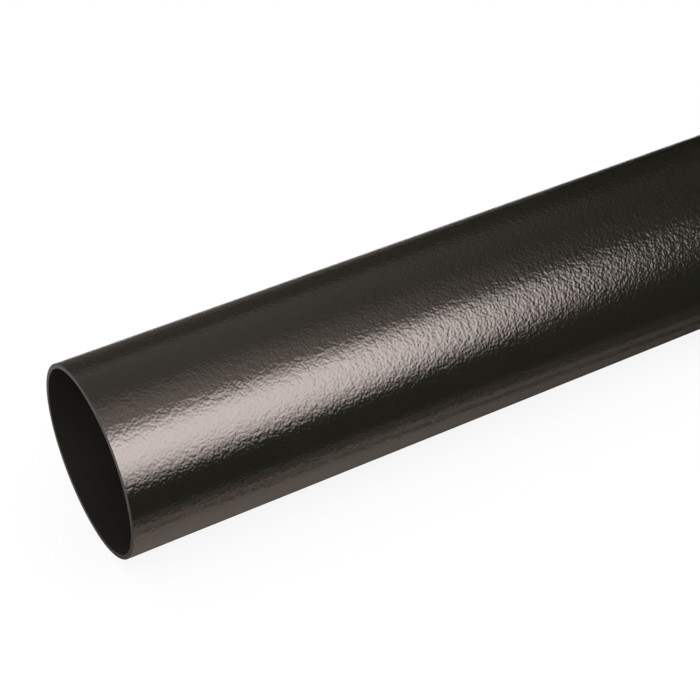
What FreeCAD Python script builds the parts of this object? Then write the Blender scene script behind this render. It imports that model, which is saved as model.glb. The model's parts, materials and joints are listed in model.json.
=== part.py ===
# A length of round cast iron downpipe: one spun casting with an even wall and two plain ends.
# The pipe lies on a level floor. Its axis runs along X, midway along it is x = 0, and the floor is z = 0.
# All sizes are in millimetres.

import FreeCAD
import Part
import Sketcher
import math
import os

PARTS_FOLDER = "parts"

# Each driving size: its alias in the sheet, its value, and what it is.
SIZES = (
    ("outside_diameter", 160.0, "barrel, outside, of a 150 mm nominal pipe"),
    ("wall_thickness", 4.0, "even all round, as the spinning leaves it"),
    ("pipe_length", 3000.0, "a full length as sold"),
    ("outer_edge_radius", 1.0, "outer edge of each end, dressed after the cut and rounded by the coat"),
    ("inner_edge_chamfer", 0.6, "burr taken off the bore at each end"),
)

OUTER_WALL = "<<sizes>>.outside_diameter"
INNER_WALL = "<<sizes>>.outside_diameter - 2 * <<sizes>>.wall_thickness"
AXIS_HEIGHT = "<<sizes>>.outside_diameter / 2"

# The two ends' edges share the wall between them, and neither takes more than this share of it.
EDGE_SHARE_OF_WALL = 0.45


def size_sheet(doc):
    """The sheet of driving sizes: names in column A, values in B, notes in C."""
    sheet = doc.addObject("Spreadsheet::Sheet", "sizes")
    sheet.Label = "sizes"
    for row, (alias, value, note) in enumerate(SIZES, start=1):
        sheet.set(f"A{row}", alias)
        sheet.set(f"B{row}", str(value))
        sheet.setAlias(f"B{row}", alias)
        sheet.set(f"C{row}", note)
    doc.recompute()
    return sheet


def origin_plane(body, role):
    """One of the body's own origin planes."""
    return next(plane for plane in body.Origin.OriginFeatures if plane.Role == role)


def add_circle(sketch, diameter, name, expression):
    """A circle centred on the sketch's origin, whose diameter follows the expression."""
    origin = FreeCAD.Vector(0, 0, 0)
    circle = sketch.addGeometry(Part.Circle(origin, FreeCAD.Vector(0, 0, 1), diameter / 2))
    circle_centre = (circle, 3)
    sketch_origin = (-1, 1)
    sketch.addConstraint(Sketcher.Constraint("Coincident", *circle_centre, *sketch_origin))
    index = sketch.addConstraint(Sketcher.Constraint("Diameter", circle, diameter))
    sketch.renameConstraint(index, name)
    sketch.setExpression(f"Constraints.{name}", expression)


def wall_section(body, sizes):
    """The pipe's cross-section, square to its axis: the outside of the wall and the bore."""
    sketch = body.newObject("Sketcher::SketchObject", "wall_section")
    sketch.AttachmentSupport = [(origin_plane(body, "YZ_Plane"), "")]
    sketch.MapMode = "FlatFace"
    bore_diameter = sizes.outside_diameter - 2 * sizes.wall_thickness
    add_circle(sketch, sizes.outside_diameter, "outer_wall", OUTER_WALL)
    add_circle(sketch, bore_diameter, "bore_wall", INNER_WALL)
    return sketch


def barrel(body, section):
    """The wall drawn out to the pipe's length, half of it each way."""
    pad = body.newObject("PartDesign::Pad", "barrel")
    pad.Profile = section
    pad.SideType = "Symmetric"
    pad.setExpression("Length", "<<sizes>>.pipe_length")
    return pad


def end_edges(shape, diameter):
    """Names of the round edges of that diameter, one at each end of the pipe."""
    return [
        f"Edge{number}"
        for number, edge in enumerate(shape.Edges, start=1)
        if isinstance(edge.Curve, Part.Circle) and math.isclose(2 * edge.Curve.Radius, diameter)
    ]


def edge_size(alias):
    """A size that an end's edge takes, held to its share of the wall."""
    return f"min(<<sizes>>.{alias}; {EDGE_SHARE_OF_WALL} * <<sizes>>.wall_thickness)"


def dressed_outer_edges(body, base, diameter):
    """The outer edge of each end, rounded."""
    rounding = body.newObject("PartDesign::Fillet", "dressed_outer_edges")
    rounding.Base = (base, end_edges(base.Shape, diameter))
    rounding.setExpression("Radius", edge_size("outer_edge_radius"))
    return rounding


def deburred_bore(body, base, diameter):
    """The inner edge of each end, with its burr taken off."""
    chamfer = body.newObject("PartDesign::Chamfer", "deburred_bore")
    chamfer.Base = (base, end_edges(base.Shape, diameter))
    chamfer.setExpression("Size", edge_size("inner_edge_chamfer"))
    return chamfer


def downpipe(doc, sizes):
    """The whole pipe, one casting, resting on the floor along its lowest line."""
    body = doc.addObject("PartDesign::Body", "downpipe")
    body.Label = "downpipe"
    length_of_pipe = barrel(body, wall_section(body, sizes))
    doc.recompute()
    rounded = dressed_outer_edges(body, length_of_pipe, sizes.outside_diameter)
    doc.recompute()
    bore_diameter = sizes.outside_diameter - 2 * sizes.wall_thickness
    body.Tip = deburred_bore(body, rounded, bore_diameter)
    body.setExpression("Placement.Base.z", AXIS_HEIGHT)
    doc.recompute()
    return body


def check(doc, pieces):
    """Stops the build if any object failed, or any piece isn't one sound solid."""
    for item in doc.Objects:
        if "Invalid" in item.State or "Error" in item.State:
            raise RuntimeError(f"{item.Label} failed: {item.State}")
    for piece in pieces:
        if piece.Shape.isNull() or not piece.Shape.isValid():
            raise RuntimeError(f"{piece.Label} has no valid shape")
        if len(piece.Shape.Solids) != 1:
            raise RuntimeError(f"{piece.Label} has {len(piece.Shape.Solids)} solids")


def main():
    doc = FreeCAD.newDocument("cast_iron_downpipe")
    sizes = size_sheet(doc)
    pieces = [downpipe(doc, sizes)]
    check(doc, pieces)
    os.makedirs(PARTS_FOLDER, exist_ok=True)
    for piece in pieces:
        piece.Shape.exportStep(os.path.join(PARTS_FOLDER, f"{piece.Label}.step"))
        box = piece.Shape.optimalBoundingBox()
        print(
            f"{piece.Label}: {box.XLength:.2f} x {box.YLength:.2f} x {box.ZLength:.2f} mm,"
            f" lowest {box.ZMin:.3f}, volume {piece.Shape.Volume:.0f} mm3"
        )


main()
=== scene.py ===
"""Builds a length of black cast iron downpipe, and the plain studio that it lies in.

The pipe lies along X on the floor z = 0, and the end that faces the camera is the one at -X.
Lengths are in metres and angles in radians, apart from values whose names say otherwise.
"""

import json
import math

import bmesh
import bpy
from mathutils import Matrix, Vector, noise


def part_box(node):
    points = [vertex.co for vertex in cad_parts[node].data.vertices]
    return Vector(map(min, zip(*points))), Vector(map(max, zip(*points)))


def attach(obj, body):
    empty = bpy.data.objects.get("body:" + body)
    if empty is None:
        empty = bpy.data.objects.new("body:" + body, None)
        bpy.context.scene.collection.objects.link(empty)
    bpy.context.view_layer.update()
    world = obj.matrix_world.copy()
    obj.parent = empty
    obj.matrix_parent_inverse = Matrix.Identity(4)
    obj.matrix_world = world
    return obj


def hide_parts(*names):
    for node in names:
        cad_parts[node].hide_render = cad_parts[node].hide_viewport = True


bl_info = {
    "name": "Cast Iron Downpipe",
    "version": (1, 0, 0),
    "blender": (4, 5, 0),
    "location": "3D View > Sidebar > Downpipe",
    "description": "Adds a length of coated cast iron downpipe and the studio around it",
    "category": "Add Mesh",
}

MM = 0.001
PAINT_IOR = 1.5
NODE = "downpipe"
BODY = "root"

# The stage's cards, gels and ceiling are this long, and the ones on the floor lie this far over it.
STAGE_LENGTH = 9.0
LIFT = 1 * MM

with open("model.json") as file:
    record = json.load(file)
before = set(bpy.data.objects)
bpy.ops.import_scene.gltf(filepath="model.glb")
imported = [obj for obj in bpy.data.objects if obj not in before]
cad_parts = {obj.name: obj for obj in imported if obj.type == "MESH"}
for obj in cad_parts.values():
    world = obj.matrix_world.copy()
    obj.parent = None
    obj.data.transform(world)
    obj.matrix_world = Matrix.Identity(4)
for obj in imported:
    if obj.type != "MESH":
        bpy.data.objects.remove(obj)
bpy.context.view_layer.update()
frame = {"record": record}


def mount_size(name, size):
    """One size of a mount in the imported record, in metres."""
    mount = next(entry for entry in frame["record"]["mounts"] if entry["name"] == name)
    return mount["dims"][size] * MM


LOWEST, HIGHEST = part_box(NODE)
LENGTH = HIGHEST.x - LOWEST.x
OUTSIDE_RADIUS = mount_size("barrel", "r_mm")
BORE_RADIUS = mount_size("bore", "r_mm")


def from_hex(code):
    """The linear colour of an sRGB hex code, such as 1D1C19."""
    channels = (int(code[i : i + 2], 16) / 255 for i in (0, 2, 4))
    return tuple(c / 12.92 if c <= 0.04045 else ((c + 0.055) / 1.055) ** 2.4 for c in channels)


def length_property(name, description, default):
    """A property that holds a length in metres."""
    return bpy.props.FloatProperty(
        name=name, description=description, default=default, min=0.0, precision=5, unit="LENGTH"
    )


def colour_property(name, description, code):
    """A property that holds a colour, given as its sRGB hex code."""
    return bpy.props.FloatVectorProperty(
        name=name,
        description=description,
        default=from_hex(code),
        min=0.0,
        max=1.0,
        size=3,
        subtype="COLOR",
    )


class PipeSizes(bpy.types.PropertyGroup):
    """The sizes of the pipe's wall and of its skin."""

    length: length_property("Length", "From end to end", LENGTH)
    outside_radius: length_property("Outside radius", "From the axis to the skin", OUTSIDE_RADIUS)
    bore_radius: length_property("Bore radius", "From the axis to the bore's wall", BORE_RADIUS)
    outer_edge: length_property(
        "Outer edge",
        "Rounding of the outer edge of each end",
        (LENGTH - mount_size("barrel", "length_mm")) / 2,
    )
    inner_edge: length_property(
        "Inner edge",
        "Burr taken off the inner edge of each end",
        (LENGTH - mount_size("bore", "length_mm")) / 2,
    )
    swell_width: length_property(
        "Swell width", "Width of the slow swells that spinning leaves in the wall", 38 * MM
    )
    swell_height: length_property("Swell height", "How far those swells rise and sink", 0.05 * MM)


class PipeFinish(bpy.types.PropertyGroup):
    """The colours, the gloss and the grain of the coat."""

    coat: colour_property("Coat", "Black of the coat", "1A1A15")
    thin_coat: colour_property("Thin coat", "Where the coat has run thinner", "1F1E19")
    gloss_tint: colour_property("Gloss tint", "Warm cast of the coat's reflections", "FFEDE5")
    # Cut end: the same black paint, made a lighter grey as painted sheen, standing in for the
    # floor's reflection.
    cut_end_painted_sheen: colour_property("Cut end", "Coated face of each sawn end", "4A4741")
    bore: colour_property("Bore", "Dull lining of the bore", "17140F")
    thin_lining: colour_property("Thin lining", "Where the lining has run thinner", "1B1813")
    coat_roughness: bpy.props.FloatProperty(
        name="Coat roughness",
        description="Spread of the coat's reflections",
        default=0.12,
        min=0.0,
        max=1.0,
        subtype="FACTOR",
    )
    pebble_width: length_property("Pebble width", "Across one pebble of the cast skin", 2.2 * MM)
    pebble_height: length_property("Pebble height", "From the hollows to the tops", 0.25 * MM)
    dimple_width: length_property("Dimple width", "Across one dimple under the pebbles", 5 * MM)
    dimple_height: length_property("Dimple height", "From the dimples to the tops", 0.15 * MM)


class StudioSettings(bpy.types.PropertyGroup):
    """The floor, the lights and the camera."""

    floor: colour_property("Floor", "Matt white floor", "FFFFFF")
    shadow_depth: bpy.props.FloatProperty(
        name="Shadow depth",
        description="Share of the floor's white that the pipe's shadow can take away",
        default=0.12,
        min=0.0,
        max=1.0,
        subtype="FACTOR",
    )
    softbox_tint: colour_property("Softbox tint", "Light of the softbox, slightly cool", "FBFDFF")
    ceiling_tint: colour_property("Ceiling tint", "Light of the panels overhead, warm", "FFF8F5")
    card_shade: colour_property("Card shade", "Warm grey of the cards behind the pipe", "6D655F")
    gel_tint: colour_property("Gel tint", "Warm gel over the floor beside the pipe", "FFEEE3")
    softbox_strength: bpy.props.FloatProperty(
        name="Softbox strength",
        description="Brightness of the softbox as the coat mirrors it, where 1 is white",
        default=13.5,
        min=0.0,
    )
    camera_azimuth: bpy.props.FloatProperty(
        name="Camera azimuth",
        description="Round the pipe, from straight in front towards the near end",
        default=math.radians(-29.73),
        subtype="ANGLE",
    )
    camera_elevation: bpy.props.FloatProperty(
        name="Camera elevation",
        description="Above the horizon",
        default=math.radians(41.06),
        subtype="ANGLE",
    )
    camera_distance: length_property("Camera distance", "From the pipe's axis", 1.5792)
    aim_from_end: length_property("Aim", "Where the camera aims, from the near end", 0.2390)
    aim_behind_axis: length_property("Aim behind", "How far behind the axis it aims", 0.0143)
    lens_mm: bpy.props.FloatProperty(
        name="Lens", description="Focal length in millimetres, on a 36 mm sensor", default=99.39
    )


def off_axis(point):
    """How far a point is from the pipe's axis."""
    height = bpy.context.scene.downpipe_sizes.outside_radius
    return math.hypot(point.y, point.z - height)


def wall_middle(sizes):
    """The radius midway through the wall."""
    return (sizes.outside_radius + sizes.bore_radius) / 2


def ring_edges(bm, x, radius, slack=0.01 * MM):
    """The edges of the ring at x, with that radius."""
    return [
        edge
        for edge in bm.edges
        if all(abs(v.co.x - x) < slack and abs(off_axis(v.co) - radius) < slack for v in edge.verts)
    ]


def add_wall(bm, sizes, facets):
    """The wall of the pipe with square ends: its section along the pipe, spun round the axis."""
    axis_height = sizes.outside_radius
    near, far = -sizes.length / 2, sizes.length / 2
    outer, inner = sizes.outside_radius, sizes.bore_radius
    corners = [
        bm.verts.new((x, 0, axis_height + radius))
        for x, radius in ((near, outer), (far, outer), (far, inner), (near, inner))
    ]
    section = [bm.edges.new(pair) for pair in zip(corners, corners[1:] + corners[:1])]
    bmesh.ops.spin(
        bm,
        geom=corners + section,
        cent=(0, 0, axis_height),
        axis=(1, 0, 0),
        angle=2 * math.pi,
        steps=facets,
        use_merge=True,
    )


def check_wall(bm, sizes):
    """Stops the build if the wall isn't closed, or if a face crosses the bore."""
    if any(len(edge.link_faces) != 2 for edge in bm.edges):
        raise RuntimeError("the wall of the pipe isn't closed")
    clear_radius = 0.99 * sizes.bore_radius
    if any(off_axis(face.calc_center_median()) < clear_radius for face in bm.faces):
        raise RuntimeError("a face of the pipe crosses its bore")


def dress_ends(bm, sizes, steps):
    """Rounds the outer edge of each end, and takes the burr off the inner one."""
    edges = ((sizes.outside_radius, sizes.outer_edge), (sizes.bore_radius, sizes.inner_edge))
    for radius, width in edges:
        rims = [
            edge
            for x in (-sizes.length / 2, sizes.length / 2)
            for edge in ring_edges(bm, x, radius)
        ]
        bmesh.ops.bevel(
            bm,
            geom=rims,
            offset=width,
            offset_type="OFFSET",
            segments=steps,
            profile=0.5,
            affect="EDGES",
            clamp_overlap=True,
            material=-1,
        )


def cut_rings(bm, sizes, ring_width, end_band):
    """Cuts rings round the pipe: one close to each end, and even ones along the outside."""
    for side in (-1, 1):
        bmesh.ops.bisect_plane(
            bm,
            geom=bm.verts[:] + bm.edges[:] + bm.faces[:],
            plane_co=(side * (sizes.length / 2 - end_band), 0, 0),
            plane_no=(1, 0, 0),
        )
    middle = wall_middle(sizes)
    long_edges = [
        edge
        for edge in bm.edges
        if edge.calc_length() > sizes.length / 2 and off_axis(edge.verts[0].co) > middle
    ]
    cuts = round(sizes.length / ring_width) - 1
    bmesh.ops.subdivide_edges(bm, edges=long_edges, cuts=cuts, use_grid_fill=True)


def swell_skin(bm, sizes):
    """Lets the outside rise and sink by slow swells, dying away towards the dressed ends."""
    middle = wall_middle(sizes)
    axis_height = sizes.outside_radius
    for vertex in bm.verts:
        if off_axis(vertex.co) < middle:
            continue
        from_end = sizes.length / 2 - abs(vertex.co.x)
        fade = min(max(from_end / sizes.swell_width, 0.0), 1.0)
        rise = noise.noise(vertex.co / sizes.swell_width) - 1.0
        outward = Vector((0, vertex.co.y, vertex.co.z - axis_height)).normalized()
        vertex.co += outward * (rise * fade * sizes.swell_height)


def add_object(name, bm):
    """A new object with the finished mesh, at the origin and in the scene."""
    mesh = bpy.data.meshes.new(name)
    bm.to_mesh(mesh)
    bm.free()
    new = bpy.data.objects.new(name, mesh)
    bpy.context.scene.collection.objects.link(new)
    return new


def add_node(tree, kind, inputs=None, **settings):
    """Adds a node with its settings. An input is a value, or a socket to link it to."""
    node = tree.nodes.new(kind)
    for name, value in settings.items():
        setattr(node, name, value)
    for name, value in (inputs or {}).items():
        if isinstance(value, bpy.types.NodeSocket):
            tree.links.new(value, node.inputs[name])
        else:
            node.inputs[name].default_value = value
    return node


def new_tree(name):
    """A new material with an empty node tree, and its tree."""
    material = bpy.data.materials.new(name)
    material.use_nodes = True
    material.node_tree.nodes.clear()
    return material, material.node_tree


def opaque(colour):
    """A colour with its alpha, as a socket takes it."""
    return (*colour, 1.0)


def patchy_colour(tree, point, first, second, patch_width):
    """Runs softly between two colours in patches of that width."""
    patches = add_node(
        tree, "ShaderNodeTexNoise", {"Vector": point, "Scale": 1 / patch_width, "Detail": 3.0}
    )
    mix = add_node(
        tree,
        "ShaderNodeMix",
        {0: patches.outputs["Fac"], 6: opaque(first), 7: opaque(second)},
        data_type="RGBA",
    )
    return mix.outputs[2]


def relief(tree, point, layers):
    """Several layers of lumps as one bumped normal. A layer is its width, height and detail."""
    normal = None
    for width, height, detail in layers:
        lumps = add_node(
            tree, "ShaderNodeTexNoise", {"Vector": point, "Scale": 1 / width, "Detail": detail}
        )
        inputs = {"Height": lumps.outputs["Fac"], "Distance": height, "Strength": 1.0}
        if normal is not None:
            inputs["Normal"] = normal
        normal = add_node(tree, "ShaderNodeBump", inputs).outputs["Normal"]
    return normal


def painted_cast_skin(finish):
    """Satin black paint on cast iron spun in a peened mould.

    The eye gets a near-black with a warm cast, a fairly sharp gloss, and pebbles that break up the
    edges of each reflection but leave its middle almost smooth.
    """
    material, tree = new_tree("satin_black_paint_on_peened_cast_skin")
    point = add_node(tree, "ShaderNodeTexCoord").outputs["Object"]
    patch_width = 45 * MM
    layers = (
        (finish.dimple_width, finish.dimple_height, 0.0),
        (finish.pebble_width, finish.pebble_height, 0.6),
    )
    coat = add_node(
        tree,
        "ShaderNodeBsdfPrincipled",
        {
            "Base Color": patchy_colour(tree, point, finish.coat, finish.thin_coat, patch_width),
            "Roughness": finish.coat_roughness,
            "IOR": PAINT_IOR,
            "Specular Tint": opaque(finish.gloss_tint),
            "Normal": relief(tree, point, layers),
        },
    )
    add_node(tree, "ShaderNodeOutputMaterial", {"Surface": coat.outputs["BSDF"]})
    return material


def painted_sawn_end(finish):
    """The same paint over a sawn and dressed end.

    The eye gets a plain dark grey ring, duller than the skin, with only a fine tooth to it. Its
    grey
    is painted sheen: a lighter base colour stands in for the floor's reflection on the black paint.
    """
    material, tree = new_tree("satin_black_paint_on_sawn_end_with_painted_sheen")
    point = add_node(tree, "ShaderNodeTexCoord").outputs["Object"]
    patch_width = 20 * MM
    saw_tooth = (1.5 * MM, 0.05 * MM, 1.0)
    coat = add_node(
        tree,
        "ShaderNodeBsdfPrincipled",
        {
            # Painted sheen: the end's lighter base colour stands in for its reflection of the
            # floor.
            "Base Color": patchy_colour(tree, point, finish.cut_end_painted_sheen, finish.thin_coat, patch_width),
            "Roughness": 0.5,
            "IOR": PAINT_IOR,
            "Specular IOR Level": 0.1,
            "Normal": relief(tree, point, (saw_tooth,)),
        },
    )
    add_node(tree, "ShaderNodeOutputMaterial", {"Surface": coat.outputs["BSDF"]})
    return material


def dull_bore_lining(finish):
    """Dull black lining, poured and drained while the pipe spun.

    The eye gets an even black depth with no gloss.
    """
    material, tree = new_tree("dull_black_bore_lining")
    point = add_node(tree, "ShaderNodeTexCoord").outputs["Object"]
    patch_width = 60 * MM
    runs = (4 * MM, 0.15 * MM, 1.0)
    lining = add_node(
        tree,
        "ShaderNodeBsdfPrincipled",
        {
            "Base Color": patchy_colour(tree, point, finish.bore, finish.thin_lining, patch_width),
            "Roughness": 0.75,
            "IOR": PAINT_IOR,
            "Specular IOR Level": 0.05,
            "Normal": relief(tree, point, (runs,)),
        },
    )
    add_node(tree, "ShaderNodeOutputMaterial", {"Surface": lining.outputs["BSDF"]})
    return material


def finish_faces(mesh, sizes):
    """Gives each face its finish: 0 the cast skin, 1 the dressed ends, 2 the bore."""
    middle = wall_middle(sizes)
    for face in mesh.polygons:
        from_end = sizes.length / 2 - abs(face.center.x)
        if from_end < min(sizes.outer_edge, sizes.inner_edge):
            face.material_index = 1
        elif off_axis(face.center) < middle:
            face.material_index = 2
        face.use_smooth = True


class DOWNPIPE_OT_add_pipe(bpy.types.Operator):
    """Add the pipe: an even wall with dressed ends, coated outside, on the ends and in the bore"""

    bl_idname = "downpipe.add_pipe"
    bl_label = "Add Pipe"

    def execute(self, context):
        sizes = context.scene.downpipe_sizes
        finish = context.scene.downpipe_finish
        bm = bmesh.new()
        add_wall(bm, sizes, facets=192)
        dress_ends(bm, sizes, steps=4)
        cut_rings(bm, sizes, ring_width=7.5 * MM, end_band=2 * MM)
        bmesh.ops.remove_doubles(bm, verts=bm.verts[:], dist=0.001 * MM)
        bmesh.ops.recalc_face_normals(bm, faces=bm.faces[:])
        check_wall(bm, sizes)
        swell_skin(bm, sizes)
        pipe = add_object("downpipe_coated", bm)
        for make in (painted_cast_skin, painted_sawn_end, dull_bore_lining):
            pipe.data.materials.append(make(finish))
        finish_faces(pipe.data, sizes)
        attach(pipe, BODY)
        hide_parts(NODE)
        return {"FINISHED"}


def add_plane(name, width, height, place):
    """A flat stage piece of that width and height, turned and moved by the matrix."""
    bm = bmesh.new()
    bmesh.ops.create_grid(bm, x_segments=1, y_segments=1, size=0.5)
    bmesh.ops.scale(bm, vec=(width, height, 1), verts=bm.verts[:])
    plane = add_object(name, bm)
    plane.matrix_world = place
    return plane


def show_only_in_gloss(item):
    """Leaves a stage piece in reflections, out of sight and out of the plain light."""
    item.visible_camera = False
    item.visible_diffuse = False
    item.visible_shadow = False
    item.visible_transmission = False


def facing(middle, target):
    """A place at middle whose back, +Z, is away from the target, with its X level."""
    back = (Vector(middle) - Vector(target)).to_track_quat("Z", "Y").to_matrix().to_4x4()
    return Matrix.Translation(middle) @ back


def white_floor(settings):
    """Matt white floor that the camera and every reflection see as plain white, shadows aside."""
    material, tree = new_tree("matt_white_floor")
    shaded_part = opaque([settings.shadow_depth] * 3)
    matt = add_node(tree, "ShaderNodeBsdfDiffuse", {"Color": shaded_part})
    glow = add_node(
        tree,
        "ShaderNodeEmission",
        {"Color": opaque(settings.floor), "Strength": 1 - settings.shadow_depth},
    )
    path = add_node(tree, "ShaderNodeLightPath")
    seen = path.outputs["Is Camera Ray"]
    for ray in ("Is Glossy Ray", "Is Transmission Ray"):
        seen = add_node(
            tree, "ShaderNodeMath", {0: seen, 1: path.outputs[ray]}, operation="MAXIMUM"
        ).outputs[0]
    lit = add_node(tree, "ShaderNodeAddShader", {0: matt.outputs[0], 1: glow.outputs[0]})
    soft_white = opaque([0.8] * 3)
    plain = add_node(tree, "ShaderNodeBsdfDiffuse", {"Color": soft_white})
    both = add_node(
        tree, "ShaderNodeMixShader", {0: seen, 1: plain.outputs[0], 2: lit.outputs[0]}
    )
    add_node(tree, "ShaderNodeOutputMaterial", {"Surface": both.outputs[0]})
    return material


def add_floor(settings, width):
    """The floor that the pipe lies on."""
    floor = add_plane("floor", width, width, Matrix.Identity(4))
    floor.data.materials.append(white_floor(settings))


def faded(tree, fades):
    """A level from 0 to 1 over a flat piece.

    Each fade is an axis, and the places along it, in metres from the piece's middle, where the
    level has gone to 0 and where it is full.
    """
    point = add_node(tree, "ShaderNodeTexCoord").outputs["Object"]
    axes = add_node(tree, "ShaderNodeSeparateXYZ", {0: point})
    level = 1.0
    for axis, gone, full in fades:
        fade = add_node(
            tree,
            "ShaderNodeMapRange",
            {"Value": axes.outputs[axis], "From Min": gone, "From Max": full},
            interpolation_type="SMOOTHSTEP",
        )
        level = add_node(
            tree, "ShaderNodeMath", {0: fade.outputs["Result"], 1: level}, operation="MULTIPLY"
        ).outputs[0]
    return level


def lit_cloth(name, colour, strength, fades):
    """Light of a cloth panel, which adds to what lies behind it and dies away at its edges."""
    material, tree = new_tree(name)
    level = add_node(
        tree, "ShaderNodeMath", {0: faded(tree, fades), 1: strength}, operation="MULTIPLY"
    ).outputs[0]
    light = add_node(tree, "ShaderNodeEmission", {"Color": opaque(colour), "Strength": level})
    clear = add_node(tree, "ShaderNodeBsdfTransparent")
    both = add_node(tree, "ShaderNodeAddShader", {0: light.outputs[0], 1: clear.outputs[0]})
    add_node(tree, "ShaderNodeOutputMaterial", {"Surface": both.outputs[0]})
    return material


def matt_card(name, shade, fades=()):
    """Matt card of that shade, black where its fades have gone."""
    material, tree = new_tree(name)
    colour = add_node(
        tree,
        "ShaderNodeMix",
        {0: faded(tree, fades), 6: opaque([0.0] * 3), 7: opaque(shade)},
        data_type="RGBA",
    ).outputs[2]
    matt = add_node(tree, "ShaderNodeBsdfDiffuse", {"Color": colour})
    add_node(tree, "ShaderNodeOutputMaterial", {"Surface": matt.outputs[0]})
    return material


def gel(name, tint, fades=()):
    """Tinted gel that what lies under it shows through, black where its fades have gone."""
    material, tree = new_tree(name)
    black = add_node(tree, "ShaderNodeBsdfDiffuse", {"Color": opaque([0.0] * 3)})
    clear = add_node(tree, "ShaderNodeBsdfTransparent", {"Color": opaque(tint)})
    both = add_node(
        tree,
        "ShaderNodeMixShader",
        {0: faded(tree, fades), 1: black.outputs[0], 2: clear.outputs[0]},
    )
    add_node(tree, "ShaderNodeOutputMaterial", {"Surface": both.outputs[0]})
    return material


def hang_softbox(settings, name, size, along, side, elevation, fades, share=1.0):
    """A softbox of that width and height, facing the pipe's axis at a place along it.

    Its side is -1 in front of the pipe and 1 behind it, and its share is of the full strength.
    """
    distance = 1.6
    aim = Vector((along, 0, OUTSIDE_RADIUS))
    away = Vector((0, side * math.cos(elevation), math.sin(elevation)))
    softbox = add_plane(name, *size, facing(aim + distance * away, aim))
    strength = share * settings.softbox_strength
    softbox.data.materials.append(
        lit_cloth(name + "_cloth", settings.softbox_tint, strength, fades)
    )
    show_only_in_gloss(softbox)


def add_softbox(settings, near_end):
    """The large softbox in front of the pipe, above the camera, whose reflection runs along it.

    It dies away towards the far end, down to the floor, and upwards.
    """
    fades = (("X", 1.52, 0.72), ("Y", -1.62, -0.30), ("Y", 0.93, 0.0))
    hang_softbox(settings, "softbox", (3.4, 3.4), near_end, -1, math.radians(44), fades)


def add_far_softboxes(settings):
    """Three more softboxes, on the sides that the main camera's reflections never reach."""
    width, height = 6.4, 2.4
    fades = tuple(
        (axis, sign * gone, sign * full)
        for axis, gone, full in (("X", width / 2, 2.6), ("Y", height / 2, 0.3))
        for sign in (1, -1)
    )
    places = (
        ("softbox_far_front", 3.6, -1, 0.4),
        ("softbox_far_behind", 3.6, 1, 0.4),
        ("softbox_near_behind", -5.1, 1, 0.3),
    )
    for name, along, side, share in places:
        size = (width, height)
        hang_softbox(settings, name, size, along, side, math.radians(48), fades, share)


def add_ceiling(settings):
    """Two dim cloth panels over the pipe, for the soft light on its upper side.

    Each has its height and its strength, and dies away towards the far end and the back.
    """
    turn = Matrix.Rotation(math.radians(-16), 4, "Z")
    panels = (
        ("ceiling_panel", 1.62, 0.50, (("X", 0.15, -1.0), ("Y", 4.2, 1.4))),
        ("ceiling_front", 1.60, 1.80, (("X", 0.3, -1.25), ("Y", 0.25, -0.75))),
    )
    for name, height, strength, fades in panels:
        place = Matrix.Translation((0, 0, height)) @ turn
        panel = add_plane(name, STAGE_LENGTH, STAGE_LENGTH, place)
        panel.data.materials.append(
            lit_cloth(name + "_cloth", settings.ceiling_tint, strength, fades)
        )
        show_only_in_gloss(panel)


def add_cards(settings):
    """Cards round the pipe, so that its gloss has dark to mirror beside the highlight.

    They make a tunnel along it, with the floor left open under and beside the pipe. Those behind
    it run from warm grey at the near end to black.
    """
    front, back, roof = -2.5, 4.5, 3.0
    near_back = 0.3
    flat = Matrix.Identity(4)
    upright = Matrix.Rotation(math.pi / 2, 4, "X")
    black = matt_card("black_card", [0.0] * 3)
    low = matt_card("low_grey_card", settings.card_shade, (("X", -0.45, -1.05),))
    tall = matt_card("tall_grey_card", settings.card_shade, (("X", 2.2, -0.5),))
    cards = (
        ("card_behind", low, back - near_back, (0, (near_back + back) / 2, LIFT), flat),
        ("card_front_wall", black, roof, (0, front, roof / 2), upright),
        ("card_back_wall", tall, roof, (0, back, roof / 2), upright),
        ("card_roof", black, back - front, (0, (back + front) / 2, roof), flat),
    )
    for name, material, width, middle, turn in cards:
        card = add_plane(name, STAGE_LENGTH, width, Matrix.Translation(middle) @ turn)
        card.data.materials.append(material)
        show_only_in_gloss(card)


def lay_gel(name, width, place, material):
    """A gel of that width on the floor, as long as the stage."""
    sheet = add_plane(name, STAGE_LENGTH, width, place)
    sheet.data.materials.append(material)
    show_only_in_gloss(sheet)


def add_gels(settings, near_end):
    """Gels on the floor, which end the strip of it that the pipe's underside mirrors.

    In front of the pipe the floor dies away softly. Two grey strips give that edge a contrast for
    the pebbles to break up. Under the pipe a warm gel dies away towards the far end, as painted
    shade, and goes black along the line where the pipe rests, as a painted contact shadow.
    """
    depth = 2.4
    turn = Matrix.Rotation(math.radians(4.5), 4, "Z")
    edge = Matrix.Translation((near_end, -0.1, 2 * LIFT)) @ turn
    graded = gel("graded_gel", [1.0] * 3, (("Y", depth / 2 - 0.115, depth / 2 - 0.03),))
    lay_gel("gel_in_front", depth, edge @ Matrix.Translation((0, -depth / 2, 0)), graded)
    grey = gel("grey_gel", [0.25] * 3)
    strips = ((0.018, 0.027), (0.048, 0.064))
    for number, (start, end) in enumerate(strips, start=1):
        middle = Matrix.Translation((0, -(start + end) / 2, LIFT))
        lay_gel(f"gel_strip_{number}", end - start, edge @ middle, grey)
    width = 0.3
    # Painted shade on the floor that the underside mirrors: black where the pipe rests, a painted
    # contact shadow, and darker towards the far end.
    fades = (("X", near_end + 0.92, near_end - 0.12), ("Y", width / 2 - 0.02, width / 2 - 0.12))
    warm = gel("warm_gel_painted_floor_shade", settings.gel_tint, fades)
    lay_gel("gel_under_painted_shade", width, Matrix.Translation((0, -width / 2, LIFT)), warm)


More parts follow.
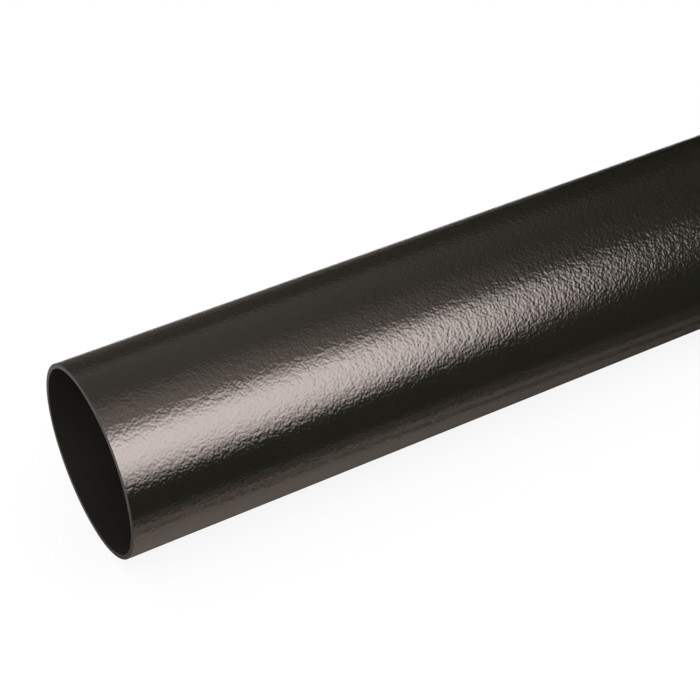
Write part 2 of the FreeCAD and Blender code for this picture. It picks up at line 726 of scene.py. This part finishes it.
def add_key_lamp(near_end):
    """A broad lamp high in front, for the shadow."""
    lamp = bpy.data.lights.new("key_lamp", "AREA")
    lamp.shape = "SQUARE"
    lamp.size = 2.0
    lamp.energy = 20.0
    key = bpy.data.objects.new("key_lamp", lamp)
    middle, target = (near_end + 0.2, -1.2, 2.4), (near_end + 0.4, 0, 0)
    key.matrix_world = facing(middle, target)
    key.visible_glossy = False
    key.visible_camera = False
    bpy.context.scene.collection.objects.link(key)


def set_world():
    """A plain white world."""
    world = bpy.data.worlds.new("studio")
    world.use_nodes = True
    tree = world.node_tree
    tree.nodes.clear()
    sky = add_node(tree, "ShaderNodeBackground", {"Color": opaque([1.0] * 3)})
    add_node(tree, "ShaderNodeOutputWorld", {"Surface": sky.outputs[0]})
    bpy.context.scene.world = world


def add_camera(settings, near_end):
    """The camera at the photograph's angle."""
    data = bpy.data.cameras.new("camera")
    data.sensor_width = 36.0
    data.lens = settings.lens_mm
    camera = bpy.data.objects.new("camera", data)
    aim = Vector((near_end + settings.aim_from_end, settings.aim_behind_axis, OUTSIDE_RADIUS))
    azimuth, elevation = settings.camera_azimuth, settings.camera_elevation
    back = Vector(
        (
            math.sin(azimuth) * math.cos(elevation),
            -math.cos(azimuth) * math.cos(elevation),
            math.sin(elevation),
        )
    )
    camera.location = aim + back * settings.camera_distance
    camera.rotation_euler = back.to_track_quat("Z", "Y").to_euler()
    bpy.context.scene.collection.objects.link(camera)
    bpy.context.scene.camera = camera


class DOWNPIPE_OT_set_stage(bpy.types.Operator):
    """Set the stage: white floor, soft light, cards and gels for the gloss, and the camera"""

    bl_idname = "downpipe.set_stage"
    bl_label = "Set Stage"

    def execute(self, context):
        settings = context.scene.downpipe_studio
        near_end = -context.scene.downpipe_sizes.length / 2
        add_floor(settings, width=200.0)
        add_softbox(settings, near_end)
        add_far_softboxes(settings)
        add_ceiling(settings)
        add_cards(settings)
        add_gels(settings, near_end)
        add_key_lamp(near_end)
        set_world()
        add_camera(settings, near_end)
        context.scene.view_settings.view_transform = "Standard"
        return {"FINISHED"}


class DOWNPIPE_PT_sidebar(bpy.types.Panel):
    """The downpipe's sizes, finish and studio, and the operators that build them"""

    bl_idname = "DOWNPIPE_PT_sidebar"
    bl_label = "Downpipe"
    bl_space_type = "VIEW_3D"
    bl_region_type = "UI"
    bl_category = "Downpipe"

    def draw(self, context):
        for group in ("downpipe_sizes", "downpipe_finish", "downpipe_studio"):
            settings = getattr(context.scene, group)
            box = self.layout.box()
            for name in settings.bl_rna.properties.keys():
                if name not in ("rna_type", "name"):
                    box.prop(settings, name)
        self.layout.operator(DOWNPIPE_OT_add_pipe.bl_idname)
        self.layout.operator(DOWNPIPE_OT_set_stage.bl_idname)


CLASSES = (
    PipeSizes,
    PipeFinish,
    StudioSettings,
    DOWNPIPE_OT_add_pipe,
    DOWNPIPE_OT_set_stage,
    DOWNPIPE_PT_sidebar,
)


def register():
    for item in CLASSES:
        bpy.utils.register_class(item)
    bpy.types.Scene.downpipe_sizes = bpy.props.PointerProperty(type=PipeSizes)
    bpy.types.Scene.downpipe_finish = bpy.props.PointerProperty(type=PipeFinish)
    bpy.types.Scene.downpipe_studio = bpy.props.PointerProperty(type=StudioSettings)


def unregister():
    for group in ("downpipe_sizes", "downpipe_finish", "downpipe_studio"):
        delattr(bpy.types.Scene, group)
    for item in reversed(CLASSES):
        bpy.utils.unregister_class(item)


def main():
    register()
    bpy.ops.downpipe.add_pipe()
    bpy.ops.downpipe.set_stage()


if __name__ == "__main__":
    main()
